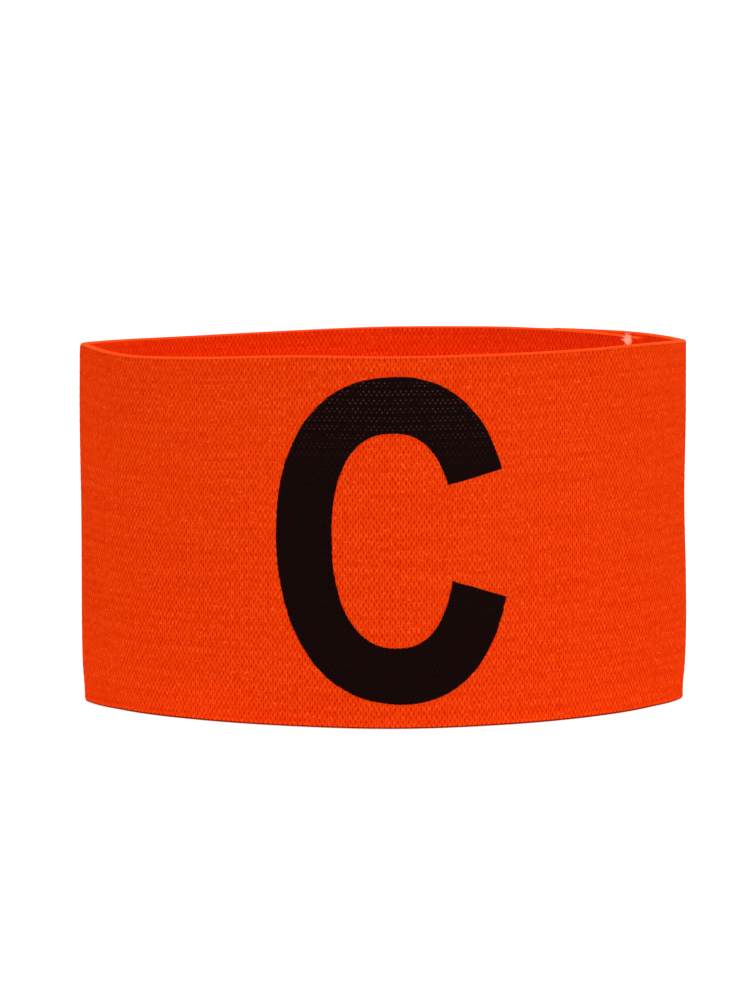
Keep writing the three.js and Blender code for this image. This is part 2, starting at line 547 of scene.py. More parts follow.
@dataclass(frozen=True)
class WovenElastic:
    """Fluorescent orange elastic: a net of floats round small pits, with painted highlight and
    shade.

    The weave's own UV map counts warp columns across and pick pairs up, so the pattern
    falls on the modelled relief.
    """

    name: str = "woven_elastic"
    yarn: Rgb = srgb(234, 48, 1)
    # the pit colour is painted shade in the weave's recesses, and also the tone of the random
    # darker rows
    pit: Rgb = srgb(208, 26, 0)
    # the crest colour is painted highlight, and also the tone of the random pale patches
    crest_highlight: Rgb = srgb(255, 82, 18)
    # the colour of small pale specks at random places on the weave
    pale_speck: Rgb = srgb(255, 116, 58)
    # the colour of the painted shade under the lower rim, where it meets the floor
    shade: Rgb = srgb(104, 16, 0)
    roughness: float = 0.8
    sheen: float = 0.09
    sheen_roughness: float = 0.17
    sheen_tint: Rgb = (1.0, 0.6, 0.4)
    # glow: partly the dye's fluorescence, partly painted light that lifts the shaded inside of the
    # loop
    glow: float = 0.26
    back_float: float = 0.45
    dark_rows: float = 0.16
    pale_patches: float = 0.08
    flecks: float = 0.6
    bump: float = 0.4
    bump_depth: float = 0.15 * MM

    def material(self) -> bpy.types.Material:
        """Builds the material."""
        bench = Bench(self.name)
        weave, across, up = bench.weave()
        column, pick = (across * TURN).cosine(), (up * TURN).cosine()
        left, right = column.step_between(0.1, 1.0), (-column).step_between(0.1, 1.0)
        low, high = pick.step_between(-0.1, 1.0), (-pick).step_between(-0.1, 1.0)
        pits = left * low + right * high
        floats = right * low + left * high * self.back_float
        ribs = 1.0 - column * column
        # a random mottle that sets how strong the painted highlights and the pits' painted shade
        # are
        mottled_light = bench.mottle(weave, 0.9, 1.3, 2.0).step_between(0.3, 0.7)
        rows = bench.mottle(weave, 0.04, 1.1, 1.0).step_between(0.4, 0.65)
        patches = bench.mottle(weave, 0.05, 0.05, 3.0).step_between(0.35, 0.75)
        specks = bench.mottle(weave, 2.1, 2.9, 1.0).step_between(0.62, 0.74)
        filament = bench.mottle(weave, 7.0, 1.4, 2.0)
        colour: Any = self.yarn
        for share, tone in (
            # painted highlight on the floats and on the ribs, its strength mottled at random
            (floats * (mottled_light * 0.7 + 0.3), self.crest_highlight),
            (ribs * (mottled_light * 0.5 + 0.3), self.crest_highlight),
            # random darker rows, in the colour of the pits' painted shade
            (rows * self.dark_rows, self.pit),
            # painted shade in the pits, its strength mottled at random
            (pits * (1.0 - mottled_light * 0.45), self.pit),
            # random pale patches, lightened towards the colour of the painted highlight
            (patches * self.pale_patches, self.crest_highlight),
            # small pale specks at random places
            (specks * self.flecks, self.pale_speck),
            # painted shade: the underside of the lower rim darkened where it stands on the floor
            ((-up).step_between(0.03, 0.24), self.shade),
        ):
            colour = bench.mix(share, colour, tone)
        grain = filament * 0.3 + floats * 0.3 - pits
        return bench.dress(colour, self.roughness, self.glow, {
            "Sheen Weight": self.sheen,
            "Sheen Roughness": self.sheen_roughness,
            "Sheen Tint": self.sheen_tint,
            "Normal": bench.relief(grain, self.bump, self.bump_depth),
        })


@dataclass(frozen=True)
class PrintedInk:
    """Near-black ink on the weave, with faint dots of painted highlight on the raised knuckles.

    The dots come up between two heights, towards the print's top.
    """

    name: str = "letter_ink"
    ink: Rgb = srgb(26, 13, 11)
    # the colour of the painted highlight on the knuckles
    knuckle_highlight: Rgb = srgb(112, 64, 60)
    roughness: float = 0.72
    gloss: float = 0.01
    dots_start: float = 48.0 * MM
    dots_full: float = 63.0 * MM
    dots_low: float = 0.06
    dots_gain: float = 0.85
    low_pick: float = 0.07
    high_pick: float = 0.43
    bump: float = 0.3
    bump_depth: float = 0.1 * MM

    def material(self) -> bpy.types.Material:
        """Builds the material."""
        bench = Bench(self.name)
        weave, across, pick = bench.weave()
        place = bench.node("ShaderNodeTexCoord").outputs["Object"]
        height = bench.node("ShaderNodeSeparateXYZ", None, {"Vector": place}).outputs["Z"]
        column = (across * TURN).cosine()
        low, high = (
            side.step_between(0.45, 1.0) * ((pick - at) * TURN).cosine().step_between(0.75, 1.0)
            for side, at in ((-column, self.low_pick), (column, self.high_pick))
        )
        dot_mottle = bench.mottle(weave, 0.6, 0.8, 2.0).step_between(0.3, 0.6)
        lit = Signal(bench, height).step_between(self.dots_start, self.dots_full)
        # painted highlights on the knuckles: patchy at random, stronger between two heights
        # towards the top
        dots = (low + high) * dot_mottle * (lit * self.dots_gain + self.dots_low)
        pits = (column * (pick * TURN).cosine()).at_least(0.0)
        return bench.dress(bench.mix(dots, self.ink, self.knuckle_highlight), self.roughness, 0.0, {
            "Specular IOR Level": self.gloss,
            "Normal": bench.relief(-pits, self.bump, self.bump_depth),
        })


@dataclass(frozen=True)
class Yarn:
    """A plain spun or sewing thread of one colour, a little uneven along its length."""

    name: str
    colour: Rgb
    shade: Rgb
    # glow: partly the dye's fluorescence, partly painted light
    glow: float = 0.3
    roughness: float = 0.8
    sheen: float = 0.1
    grain: float = 2500.0
    shaded: float = 0.6

    def material(self) -> bpy.types.Material:
        """Builds the material."""
        bench = Bench(self.name)
        place = bench.node("ShaderNodeTexCoord").outputs["Object"]
        uneven = bench.noise(place, self.grain, 2.0).step_between(0.35, 0.65)
        colour = bench.mix(uneven * self.shaded, self.colour, self.shade)
        return bench.dress(colour, self.roughness, self.glow, {"Sheen Weight": self.sheen})


@dataclass(frozen=True)
class PalePaint:
    """The plain pale surface of the studio floor."""

    name: str = "studio_pale"
    colour: Rgb = (0.92, 0.92, 0.92)
    glow: float = 0.85

    def material(self) -> bpy.types.Material:
        """Builds the material."""
        return Bench(self.name).dress(self.colour, 1.0, self.glow, {})


class Thread(Enum):
    """The threads and yarns that the armband is made of, besides its weave.

    They are the upper selvedge's yarn, brightened and glowing as painted highlight, the
    lower one's as a darker copy of it, painted shade where it stands on the floor, the outer
    seam's thread, and the pale thread of the inner seam and its tuft, which glows with
    painted light.
    """

    # the upper selvedge's yarn, brightened and glowing: painted highlight along the upper rim
    SELVEDGE_PAINTED_LIGHT = Yarn("selvedge_yarn", srgb(253, 82, 24), srgb(250, 70, 16), glow=0.85)
    # the lower selvedge's yarn as a darker copy: painted shade where the rim stands on the floor
    FOOT_PAINTED_SHADE = Yarn("selvedge_yarn_foot_painted_shade", srgb(150, 36, 14), srgb(116, 22, 7), glow=0.0)
    SEAM = Yarn("seam_thread_orange", srgb(250, 78, 24), srgb(236, 56, 8))
    # the pale thread glows: painted light that lifts it out of the shade inside the loop
    LAP = Yarn("lap_thread_pale", srgb(250, 200, 178), srgb(248, 158, 130), glow=0.45)


# Patterns grown by geometry nodes

class Pattern(NodeTree):
    """A geometry node tree with named inputs, grown over a carrier into a plain mesh."""

    def __init__(self, name: str) -> None:
        """Starts a tree with a geometry input and output."""
        super().__init__(bpy.data.node_groups.new(name, "GeometryNodeTree"))
        self.values: dict[str, Any] = {}
        face = self.tree.interface
        face.new_socket(name="Geometry", in_out="INPUT", socket_type="NodeSocketGeometry")
        face.new_socket(name="Geometry", in_out="OUTPUT", socket_type="NodeSocketGeometry")
        self.source = self.tree.nodes.new("NodeGroupInput")
        self.sink = self.tree.nodes.new("NodeGroupOutput")

    def size(self, name: str, kind: str, value: Any) -> bpy.types.NodeSocket:
        """Adds a named input.

        Args:
            name: The input's name.
            kind: Float, Int, Vector or Material.
            value: The value it gets when the pattern is grown.

        Returns:
            The socket that gives the input inside the tree.
        """
        socket = self.tree.interface.new_socket(
            name=name, in_out="INPUT", socket_type=f"NodeSocket{kind}"
        )
        self.values[socket.identifier] = value
        return self.source.outputs[name]

    def maths(self, operation: str, *values: Any) -> bpy.types.NodeSocket:
        """Adds a Math node on values or sockets and gives its result."""
        settings = {"operation": operation}
        return self.node("ShaderNodeMath", settings, dict(enumerate(values))).outputs[0]

    def scaled(self, vector: Any, factor: Any) -> bpy.types.NodeSocket:
        """A vector times a number."""
        node = self.node(
            "ShaderNodeVectorMath", {"operation": "SCALE"}, {"Vector": vector, "Scale": factor}
        )
        return node.outputs["Vector"]

    def summed(self, first: Any, second: Any) -> bpy.types.NodeSocket:
        """The sum of two vectors."""
        node = self.node("ShaderNodeVectorMath", {"operation": "ADD"}, {0: first, 1: second})
        return node.outputs["Vector"]

    def thread(self, curve: bpy.types.NodeSocket, radius: Any, sides: int) -> bpy.types.NodeSocket:
        """Gives a curve a round section with closed ends.

        Args:
            curve: The curve's socket.
            radius: The thread's radius, a value or a socket.
            sides: How many sides the section has.

        Returns:
            The mesh's socket.
        """
        section = {"Resolution": sides, "Radius": radius}
        ring = self.node("GeometryNodeCurvePrimitiveCircle", None, section)
        tube = self.node(
            "GeometryNodeCurveToMesh", None,
            {"Curve": curve, "Profile Curve": ring.outputs["Curve"], "Fill Caps": True},
        )
        return tube.outputs["Mesh"]

    def grow(
        self, carrier: bpy.types.Object, shape: bpy.types.NodeSocket, finish: bpy.types.Material
    ) -> bpy.types.Object:
        """Ends the tree, runs it on a carrier and keeps the plain mesh.

        Args:
            carrier: The object whose mesh the pattern follows; it is removed.
            shape: The pattern's geometry inside the tree.
            finish: The material that it gets.

        Returns:
            The new piece.
        """
        material = self.size("Finish", "Material", finish)
        plain = self.node("GeometryNodeRealizeInstances", None, {"Geometry": shape})
        dressed = self.node(
            "GeometryNodeSetMaterial", None,
            {"Geometry": plain.outputs["Geometry"], "Material": material},
        )
        smooth = self.node(
            "GeometryNodeSetShadeSmooth", None, {"Geometry": dressed.outputs["Geometry"]}
        )
        self.tree.links.new(smooth.outputs["Geometry"], self.sink.inputs[0])
        modifier = carrier.modifiers.new(self.tree.name, "NODES")
        modifier.node_group = self.tree
        for identifier, value in self.values.items():
            modifier[identifier] = value
        graph = bpy.context.evaluated_depsgraph_get()
        mesh = bpy.data.meshes.new_from_object(carrier.evaluated_get(graph))
        name = carrier.name
        bpy.data.objects.remove(carrier)
        mesh.name = name
        return new_object(name, mesh)


def path_object(name: str, points: np.ndarray) -> bpy.types.Object:
    """Makes a carrier for a pattern: a mesh that is one line of edges."""
    mesh = bpy.data.meshes.new(name)
    edges = [(k, k + 1) for k in range(len(points) - 1)]
    mesh.from_pydata([tuple(p) for p in points], edges, [])
    return new_object(name, mesh)


# The webbing

@dataclass
class Webbing:
    """The lapped strip of elastic, with its weave modelled on the outer face.

    Attributes, where the name doesn't say it all:
        column_pitch: The width of one warp column.
        pair_pitch: The height of one pair of picks.
        stand: How far the rounded lower rim is held off the floor, on its loops.
        drift: How far the weave's crossings stray along the face.
        ripple: How far the face waves in and out.
        broad_cell, fine_cell: Half columns and half pairs to a cell of the two noises.
        seed: The first of the four noises' seeds.
        sway_slope, sway_start: Where the sway of the folds sets in along x.
        cut_weave: The place on the weave's map that colours the strip's cut ends.
    """

    plan: LoopPlan
    lap_inner_end: float = 15.5 * MM
    lap_length: float = 27.0 * MM
    ply_gap: float = 0.2 * MM
    lap_ease: float = 18.0 * MM
    lap_skew: float = 0.8 * MM
    column_pitch: float = 0.98 * MM
    pair_pitch: float = 1.62 * MM
    pit_depth: float = 0.13 * MM
    pit_spread: float = 0.25
    crest_proud: float = 0.03 * MM
    selvedge_round: float = 0.62 * MM
    selvedge_steps: int = 4
    stand: float = 0.1 * MM
    scallop: float = 0.03 * MM
    inner_rows: int = 24
    drift: float = 0.06 * MM
    ripple: float = 0.1 * MM
    broad_cell: int = 24
    fine_cell: int = 5
    seed: int = 11
    sway_slope: float = 14.0
    sway_start: float = 6.0
    cut_weave: tuple[float, float] = (0.25, 0.25)

    def __post_init__(self) -> None:
        """Lays the weave's grid out on the strip: half columns along, half pairs up."""
        self.start = self.lap_inner_end
        self.length = self.plan.length + self.lap_length
        self.columns = round(self.length / (self.column_pitch / 2))
        height = self.plan.webbing_width - 2 * self.selvedge_round
        self.rows = round(height / (self.pair_pitch / 2) / 2) * 2
        self.half_column = self.length / self.columns
        self.outer = self._outer_grid()

    def tuck(self, distance: np.ndarray) -> np.ndarray:
        """How far the inner ply is tucked in under the outer one, eased out past the lap."""
        lap_end = self.lap_inner_end + self.lap_length
        way = np.clip((distance - lap_end) / self.lap_ease, 0, 1)
        return (self.plan.wall + self.ply_gap) * (1 - eased(way))

    def rim(self, distance: np.ndarray) -> np.ndarray:
        """The upper rim's height; the inner ply's falls away towards its cut end."""
        along = np.clip((distance - self.lap_inner_end) / self.lap_length, 0, 1)
        return self.plan.height(distance) - self.lap_skew * (1 - along)

    def clear(self, distance: np.ndarray) -> np.ndarray:
        """The height of the flat face between the two rounded rims."""
        return self.rim(distance) - 2 * self.selvedge_round

    def place(self, distance: np.ndarray, outward: np.ndarray, up: np.ndarray) -> np.ndarray:
        """Finds points of the strip.

        Args:
            distance: How far along the strip's loop, from the right fold's end.
            outward: How far off the wall's middle.
            up: The height.

        Returns:
            The points, with x, y and z in the last axis.
        """
        flat = self.plan.point(distance, np.asarray(outward) - self.tuck(distance))
        level = np.broadcast_to(up, flat.shape[:-1])
        flat += self.sway(flat[..., 0], level)
        return np.concatenate([flat, level[..., None]], axis=-1)

    def sway(self, x: np.ndarray, up: np.ndarray) -> np.ndarray:
        """How far the wall near a fold leans, by height.

        Args:
            x: The places along x before it.
            up: Their heights.

        Returns:
            The shifts, with x and y in the last axis.
        """
        past = self.sway_slope * np.abs(x) / self.plan.width - self.sway_start
        near = eased(np.clip(past, 0, 1)) * self.plan.width
        share = np.clip(up / self.plan.webbing_width, 0, 1)
        left, right, forth = (
            smooth_column(FOLD_SWAY, column, share) for column in ("left", "right", "forth")
        )
        return np.stack([near * np.where(x < 0, -left, right), -near * forth], axis=-1)

    def _outer_grid(self) -> np.ndarray:
        """The outer face's vertices: pits and crests in turn, like a chequerboard."""
        shape = (self.columns + 1, self.rows + 1)
        column, row = np.meshgrid(np.arange(shape[0]), np.arange(shape[1]), indexing="ij")
        broad = (self.columns // self.broad_cell, self.rows // self.broad_cell)
        fine = (self.columns // self.fine_cell, self.rows // self.fine_cell)
        depth = self.pit_depth * (1 + self.pit_spread * rolling_noise(shape, fine, self.seed))
        is_pit = (column + row) % 2 == 0
        inside = np.clip(np.minimum(row, self.rows - row), 0, 1)
        sideways = self.drift * rolling_noise(shape, fine, self.seed + 1)
        sideways *= np.clip(np.minimum(column, self.columns - column), 0, 1)
        distance = self.start + column * self.half_column + sideways
        outward = self.plan.wall / 2 + self.crest_proud - depth * is_pit * inside
        outward += self.ripple * rolling_noise(shape, broad, self.seed + 2) * inside
        up = self.selvedge_round + self.clear(distance) * row / self.rows
        up += self.drift * rolling_noise(shape, fine, self.seed + 3) * inside
        return self.place(distance, outward, up)

    def on_face(self, column: np.ndarray, row: np.ndarray) -> np.ndarray:
        """Finds points that lie on the outer face's own triangles.

        Args:
            column: Places along the grid, in half columns.
            row: Places up the grid, in half pairs.

        Returns:
            The points.
        """
        i = np.clip(np.floor(column).astype(int), 0, self.columns - 1)
        j = np.clip(np.floor(row).astype(int), 0, self.rows - 1)
        x, y = (column - i)[..., None], (row - j)[..., None]
        low, right = self.outer[i, j], self.outer[i + 1, j]
        top, far = self.outer[i, j + 1], self.outer[i + 1, j + 1]
        falling = ((i + j) % 2 == 0)[..., None]
        near_low = low + x * (right - low) + y * (top - low)
        near_far = far + (1 - x) * (top - far) + (1 - y) * (right - far)
        under = low + x * (right - low) + y * (far - right)
        over = low + y * (top - low) + x * (far - top)
        return np.where(
            falling, np.where(x + y <= 1, near_low, near_far), np.where(y <= x, under, over)
        )

    def _rim(self, upper: bool) -> list[tuple[np.ndarray, np.ndarray]]:
        """The rounded rim between the two faces, as columns of points and their UV rise.

        Args:
            upper: True for the upper rim and False for the lower one.

        Returns:
            For each step round the rim, its points and how far past the face it is.
        """
        distance = self.start + np.arange(self.columns + 1) * self.half_column
        flat = self.plan.wall / 2 - self.selvedge_round
        scallop = self.scallop * (np.arange(self.columns + 1) % 2)
        quarter = math.pi / 2
        steps = []
        for side in (1, -1):
            for k in range(1, self.selvedge_steps + 1):
                angle = quarter * k / self.selvedge_steps
                if side < 0:
                    angle = quarter - angle + quarter / self.selvedge_steps
                outward = side * (flat + self.selvedge_round * math.cos(angle))
                rise = self.selvedge_round * math.sin(angle)
                if upper:
                    up = self.rim(distance) - self.selvedge_round + rise
                    up = up - scallop * math.sin(angle)
                else:
                    drop = rise * (1 - self.stand / self.selvedge_round)
                    up = self.selvedge_round - drop + scallop * math.sin(angle)
                steps.append((self.place(distance, outward, up), np.full(len(distance), rise)))
        return steps

    def build(self) -> bpy.types.Object:
        """Builds the strip as one closed mesh with its weave's UV map.

        Returns:
            The webbing.
        """
        count = self.columns + 1
        distance = self.start + np.arange(count) * self.half_column
        pairs = self.rows / 2
        rings: list[np.ndarray] = []
        climb: list[np.ndarray] = []
        for row in range(self.rows + 1):
            rings.append(self.outer[:, row])
            climb.append(np.full(count, row / 2))
        for points, rise in self._rim(upper=True):
            rings.append(points)
            climb.append(pairs + rise / self.pair_pitch)
        for step in range(self.inner_rows + 1):
            share = 1 - step / self.inner_rows
            up = self.selvedge_round + self.clear(distance) * share
            rings.append(self.place(distance, np.full(count, -self.plan.wall / 2), up))
            climb.append(np.full(count, share * pairs))
        for points, rise in reversed(self._rim(upper=False)):
            rings.append(points)
            climb.append(-rise / self.pair_pitch)
        points = np.stack(rings, axis=1).reshape(-1, 3)
        piece = mesh_object("elastic_webbing", points, self._faces(len(rings)))
        columns = np.repeat(np.arange(count) / 2, len(rings))
        write_uv(piece, np.column_stack([columns, np.stack(climb, axis=1).ravel()]))
        for cut in piece.data.polygons[-2:]:
            cut.use_smooth = False
            for corner in cut.loop_indices:
                piece.data.uv_layers["weave"].data[corner].uv = self.cut_weave
        return piece

    def _faces(self, around: int) -> list[tuple[int, ...]]:
        """Joins neighbouring sections, with the outer face's ridges along its crests."""
        faces: list[tuple[int, ...]] = []
        for i in range(self.columns):
            here, there = i * around, (i + 1) * around
            for j in range(around):
                k = (j + 1) % around
                a, b, c, d = here + j, there + j, there + k, here + k
                if j >= self.rows:
                    faces.append((a, b, c, d))
                elif (i + j) % 2 == 0:
                    faces += [(a, b, d), (b, c, d)]
                else:
                    faces += [(a, b, c), (a, c, d)]
        faces.append(tuple(range(around)))
        faces.append(tuple(reversed(range(self.columns * around, (self.columns + 1) * around))))
        return faces


# The printed letter

@dataclass(frozen=True)
class LetterEdge:
    """One edge of the letter's stroke: a squared ellipse, cut where the stroke ends.

    Attributes:
        width: How wide the whole edge is.
        half_height: Half its height.
        middle: How far right of the letter's middle its top stands, as a share of the width.
        bulge: How far it reaches left of that, as a share of the width.
        squareness: 2 for a true ellipse, and more for a squarer one.
        upper_cut: Where the stroke ends above the middle, as a share of the half height.
        lower_cut: The same below the middle.
        lean: The sideways lean, for each metre up.
    """

    width: float
    half_height: float
    middle: float
    bulge: float
    squareness: float
    upper_cut: float
    lower_cut: float
    lean: float

    def outline(self, shares: np.ndarray) -> np.ndarray:
        """Gives points of the edge, from the upper cut over the left to the lower one."""
        power = 2 / self.squareness
        upper = math.asin(self.upper_cut ** (1 / power))
        lower = TURN - math.asin(self.lower_cut ** (1 / power))
        angle = upper + (lower - upper) * shares
        c, s = np.cos(angle), np.sin(angle)
        reach = np.where(c < 0, self.bulge, 1 - self.bulge)
        x = self.width * (self.middle + reach * np.sign(c) * np.abs(c) ** power)
        y = self.half_height * np.sign(s) * np.abs(s) ** power
        return np.column_stack([x + self.lean * y, y])


@dataclass
class PrintedLetter:
    """The letter: a film of ink that follows every pit of the weave."""

    webbing: Webbing
    width: float = 44.8 * MM
    margin_low: float = 4.8 * MM
    margin_high: float = 3.4 * MM
    shift: float = 0.55 * MM
    lean: float = -0.019
    stroke_side: float = 11.0 * MM
    stroke_top: float = 10.6 * MM
    lift: float = 0.09 * MM
    film: float = 0.05 * MM
    ragged: float = 0.09 * MM
    steps_along: int = 520
    steps_across: int = 40

    def _flat(self) -> np.ndarray:
        """The letter's grid in the flat: along the stroke, then across it."""
        high = self.webbing.plan.webbing_width - self.margin_low - self.margin_high
        outer = LetterEdge(
            width=self.width, half_height=high / 2, middle=0.017, bulge=0.523,
            squareness=2.2, upper_cut=0.426, lower_cut=0.358, lean=self.lean,
        )
        inner = LetterEdge(
            width=self.width - 2 * self.stroke_side, half_height=high / 2 - self.stroke_top,
            middle=0.0, bulge=0.516,
            squareness=2.3, upper_cut=0.516, lower_cut=0.381, lean=self.lean,
        )
        shares = np.linspace(0, 1, self.steps_along + 1)
        out, into = outer.outline(shares), inner.outline(shares)
        across = np.linspace(0, 1, self.steps_across + 1)[None, :, None]
        grid = out[:, None, :] * (1 - across) + into[:, None, :] * across
        return grid + np.array([0.0, self.margin_low + high / 2])

    def build(self) -> bpy.types.Object:
        """Builds the film as one closed mesh with the weave's UV map.

        Returns:
            The printed letter.
        """
        web = self.webbing
        grid = self._flat()
        distance = web.plan.on_front(self.shift + grid[..., 0])
        column = (distance - web.start) / web.half_column
        row = (grid[..., 1] - web.selvedge_round) / web.clear(distance) * web.rows
        column, row = self._ragged_edges(column, row)
        face = web.on_face(column, row)
        distance = web.start + column * web.half_column
        normal = web.plan.normal(distance)
        outward = np.concatenate([normal, np.zeros(normal.shape[:-1] + (1,))], axis=-1)
        top = face + outward * self.lift
        bottom = face + outward * (self.lift - self.film)
        points = np.concatenate([top.reshape(-1, 3), bottom.reshape(-1, 3)])
        piece = mesh_object("printed_letter", points, self._faces())
        uv = np.stack([column / 2, row / 2], axis=-1).reshape(-1, 2)
        write_uv(piece, np.concatenate([uv, uv]))
        return piece

    def _ragged_edges(self, column: np.ndarray, row: np.ndarray) -> tuple[np.ndarray, np.ndarray]:
        """Draws the ink back from the pits along the letter's edges.

        Args:
            column: The grid's places along the weave, in half columns.
            row: Its places up the weave, in half pairs.

        Returns:
            The same two, with their outermost rows moved.
        """
        web = self.webbing
        step = np.array([web.half_column, web.pair_pitch / 2])
        places = np.stack([column, row], axis=-1) * step
        for edge, inside in ((0, 1), (-1, -2)):
            way = places[:, inside] - places[:, edge]
            way /= np.linalg.norm(way, axis=-1)[:, None]
            pit = np.cos(math.pi * column[:, edge]) * np.cos(math.pi * row[:, edge])
            places[:, edge] += way * (self.ragged * pit)[:, None]
        return places[..., 0] / step[0], places[..., 1] / step[1]

    def _faces(self) -> list[tuple[int, ...]]:
        """The film's two faces and the thin walls round them."""
        along, across = self.steps_along + 1, self.steps_across + 1
        under = along * across
        faces: list[tuple[int, ...]] = []
        for i in range(along - 1):
            for j in range(across - 1):
                a = i * across + j
                b, c, d = a + across, a + across + 1, a + 1
                faces.append((a, b, c, d))
                faces.append((a + under, d + under, c + under, b + under))
            a, b = i * across, (i + 1) * across
            faces.append((a, a + under, b + under, b))
            c, d = b + across - 1, a + across - 1
            faces.append((c, c + under, d + under, d))
        last = (along - 1) * across
        for j in range(across - 1):
            faces.append((j + 1, j + 1 + under, j + under, j))
            faces.append((last + j, last + j + under, last + j + 1 + under, last + j + 1))
        return faces


# Loops, seams and loose thread

@dataclass
class SelvedgeLoops:
    """The weft's turns: small loops of yarn over the rims, one for each half column."""

    webbing: Webbing
    radius: float = 0.66 * MM
    thread: float = 0.235 * MM
    proud: float = 0.14 * MM
    sweep: float = math.radians(110)
    arc_points: int = 7
    sides: int = 5

    def build(self, upper: bool, finish: bpy.types.Material) -> bpy.types.Object:
        """Grows the loops along one rim.

        Args:
            upper: True for the upper rim and False for the lower one.
            finish: The yarn's material.

        Returns:
            The row of loops.
        """
        web = self.webbing
        distance = web.start + web.half_column * (np.arange(web.columns) + 0.5)
        seat = self.radius + self.thread
        level = web.rim(distance) + self.proud - seat if upper else np.full(len(distance), seat)
        path = web.place(distance, np.zeros(len(distance)), level)
        name = "selvedge_loops_upper" if upper else "selvedge_loops_lower"
        pattern = Pattern(name)
        radius = pattern.size("Loop radius", "Float", self.radius)
        thick = pattern.size("Yarn radius", "Float", self.thread)
        line = pattern.node("GeometryNodeMeshToCurve", None, {"Mesh": pattern.source.outputs[0]})
        arc = pattern.node(
            "GeometryNodeCurveArc", {"mode": "RADIUS"},
            {
                "Resolution": self.arc_points,
                "Radius": radius,
                "Start Angle": (math.pi - self.sweep) / 2 + (0.0 if upper else math.pi),
                "Sweep Angle": self.sweep,
            },
        )
        loop = pattern.thread(arc.outputs["Curve"], thick, self.sides)
        stood = pattern.node(
            "GeometryNodeTransform", None,
            {"Geometry": loop, "Rotation": (math.pi / 2, 0.0, math.pi / 2)},
        )
        tangent = pattern.node("GeometryNodeInputTangent")
        facing = pattern.node(
            "FunctionNodeAlignRotationToVector", {"axis": "X", "pivot_axis": "Z"},
            {"Vector": tangent.outputs["Tangent"]},
        )
        rows = pattern.node(
            "GeometryNodeInstanceOnPoints", None,
            {
                "Points": line.outputs["Curve"],
                "Instance": stood.outputs["Geometry"],
                "Rotation": facing.outputs["Rotation"],
            },
        )
        return pattern.grow(path_object(name, path), rows.outputs["Instances"], finish)


@dataclass
class ZigzagSeam:
    """A zigzag row of stitches that runs up the wall near a ply's cut end."""

    webbing: Webbing
    name: str
    distance: float
    inside: bool
    width: float = 2.4 * MM
    pitch: float = 1.9 * MM
    thread: float = 0.13 * MM
    arch: float = 0.12 * MM
    sunk: float = 0.05 * MM
    margin: float = 1.4 * MM
    curve_steps: int = 3
    sides: int = 6

    def build(self, finish: bpy.types.Material) -> bpy.types.Object:
        """Grows the stitches.

        Args:
            finish: The thread's material.

        Returns:
            The row of stitches.
        """
        web = self.webbing
        side = -1 if self.inside else 1
        seat = side * web.plan.wall / 2
        top = float(web.rim(np.array(self.distance))) - self.margin
        ends = web.place(np.full(2, self.distance), np.full(2, seat), np.array([self.margin, top]))
        normal = web.plan.normal(np.array(self.distance))
        outward = Vector((float(normal[0]), float(normal[1]), 0.0)) * side
        across = Vector((-outward.y, outward.x, 0.0))
        pattern = Pattern(self.name)
        half = pattern.size("Half width", "Float", self.width / 2)
        quarter = pattern.size("Quarter pitch", "Float", self.pitch / 4)
        thick = pattern.size("Thread radius", "Float", self.thread)
        arch = pattern.size("Arch", "Float", self.arch + self.sunk)
        sunk = pattern.size("Sunk", "Float", -self.sunk)
        over = pattern.size("Across", "Vector", tuple(across))
        out = pattern.size("Outward", "Vector", tuple(outward))
        line = pattern.node("GeometryNodeMeshToCurve", None, {"Mesh": pattern.source.outputs[0]})
        holes = pattern.node(
            "GeometryNodeResampleCurve", {"mode": "LENGTH"},
            {"Curve": line.outputs["Curve"], "Length": quarter},
        )
        index = pattern.node("GeometryNodeInputIndex").outputs["Index"]
        phase = pattern.maths("MULTIPLY", index, math.pi / 2)
        swing = pattern.maths("MULTIPLY", pattern.maths("COSINE", phase), half)
        raised = pattern.maths("POWER", pattern.maths("SINE", phase), 2.0)
        height = pattern.maths("MULTIPLY_ADD", raised, arch, sunk)
        offset = pattern.summed(pattern.scaled(over, swing), pattern.scaled(out, height))
        moved = pattern.node(
            "GeometryNodeSetPosition", None, {"Geometry": holes.outputs["Curve"], "Offset": offset}
        )
        spline = pattern.node(
            "GeometryNodeCurveSplineType", {"spline_type": "CATMULL_ROM"},
            {"Curve": moved.outputs["Geometry"]},
        )
        fine = pattern.node(
            "GeometryNodeSetSplineResolution", None,
            {"Geometry": spline.outputs["Curve"], "Resolution": self.curve_steps},
        )
        shape = pattern.thread(fine.outputs["Geometry"], thick, self.sides)
        return pattern.grow(path_object(self.name, ends), shape, finish)


